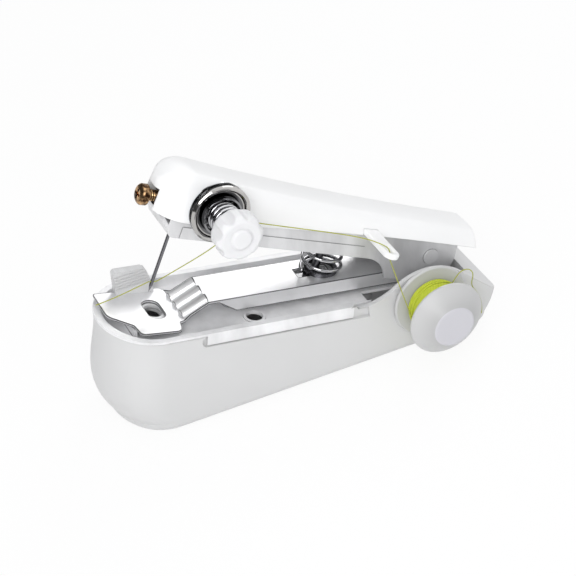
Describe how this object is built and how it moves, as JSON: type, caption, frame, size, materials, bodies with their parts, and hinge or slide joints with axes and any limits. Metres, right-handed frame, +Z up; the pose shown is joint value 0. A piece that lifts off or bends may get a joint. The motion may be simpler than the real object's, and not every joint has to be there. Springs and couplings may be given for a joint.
{
  "type": "hand-held sewing machine",
  "caption": "Palm-sized manual sewing machine squeezed like a stapler: sprung needle arm over a steel-topped base, with tension knob, side spool and threaded needle.",
  "frame": {"origin": "middle of the base's flat bottom", "axes": "+X along the base from the needle end to the hinge end, -Y to the spool side, +Z up"},
  "size_m": [0.1228, 0.0517, 0.0771],
  "materials": {
    "white_plastic": "satin moulded plastic",
    "knob_plastic": "milky translucent plastic",
    "grey_plastic": "ridged matte plastic",
    "sheet_steel": "satin plated sheet",
    "bright_steel": "polished nickel plate",
    "spring_steel": "drawn wire",
    "brass": "turned, a little tarnished",
    "thread": "polyester sewing thread"
  },
  "bodies": {
    "base": {"base_shell": "white_plastic", "base_screws": "bright_steel", "base_frame": "sheet_steel", "throat_plate": "sheet_steel", "hinge_pin": "bright_steel", "hinge_clip": "bright_steel", "looper_bracket": "sheet_steel", "spool_axle": "bright_steel", "thread_supply": "thread"},
    "presser": {"presser_plate": "sheet_steel", "lift_tab": "grey_plastic", "spring_seat": "bright_steel", "return_spring": "spring_steel", "thread_tail": "thread"},
    "arm": {"arm_channel": "sheet_steel", "arm_cover": "white_plastic", "cover_screws": "bright_steel", "needle_block": "sheet_steel", "needle": "bright_steel", "tension_stud": "bright_steel", "tension_disc_rear": "bright_steel", "tension_disc_front": "bright_steel", "tension_cup": "bright_steel", "tension_spring": "spring_steel", "thread_guide": "white_plastic", "drive_pin": "bright_steel", "spring_post": "bright_steel", "thread_feed": "thread", "thread_needle": "thread"},
    "knob": {"tension_knob": "knob_plastic"},
    "clamp_screw": {"needle_screw": "brass"},
    "reel": {"spool": "white_plastic", "thread_pack": "thread", "thread_winding": "thread", "thread_end": "thread"},
    "looper": {"looper_shaft": "sheet_steel", "looper_hook": "sheet_steel", "looper_crank": "sheet_steel"},
    "link": {"drive_link": "sheet_steel"}
  },
  "joints": [
    {"name": "presser_lift", "type": "hinge", "parent": "base", "child": "presser", "pos_m": [0.042, 0, 0.025], "axis": [0, 1, 0], "range_deg": [0, 3], "deforming": ["thread_supply"]},
    {"name": "arm_squeeze", "type": "hinge", "parent": "presser", "child": "arm", "pos_m": [0.042, 0, 0.025], "axis": [0, -1, 0], "range_deg": [0, 13], "stiffness_Nm_per_rad": 3, "springref_deg": -8.59, "deforming": ["return_spring", "thread_supply", "thread_needle", "thread_tail"]},
    {"name": "tension_turn", "type": "hinge", "parent": "arm", "child": "knob", "pos_m": [-0.02368, -0.022, 0.06526], "axis": [0, -1, 0], "range_deg": [-360, 360]},
    {"name": "clamp_turn", "type": "hinge", "parent": "arm", "child": "clamp_screw", "pos_m": [-0.04055, 0, 0.07029], "axis": [0.9033, 0, -0.4289], "range_deg": [-360, 0]},
    {"name": "spool_spin", "type": "hinge", "parent": "base", "child": "reel", "pos_m": [0.0361, -0.0233, 0.01774], "axis": [0, -1, 0], "continuous": true},
    {"name": "looper_swing", "type": "hinge", "parent": "base", "child": "looper", "pos_m": [-0.033, 0, 0.01], "axis": [0, -1, 0], "range_deg": [0, 27.5]},
    {"name": "link_slide", "type": "slide", "parent": "base", "child": "link", "axis": [1, 0, 0], "range_m": [0, 0.0025]}
  ],
  "couplings": [
    {"joint": "looper_swing", "follows": "arm_squeeze", "ratio": 2.1},
    {"joint": "link_slide", "follows": "arm_squeeze", "m_per_rad": 0.011}
  ]
}
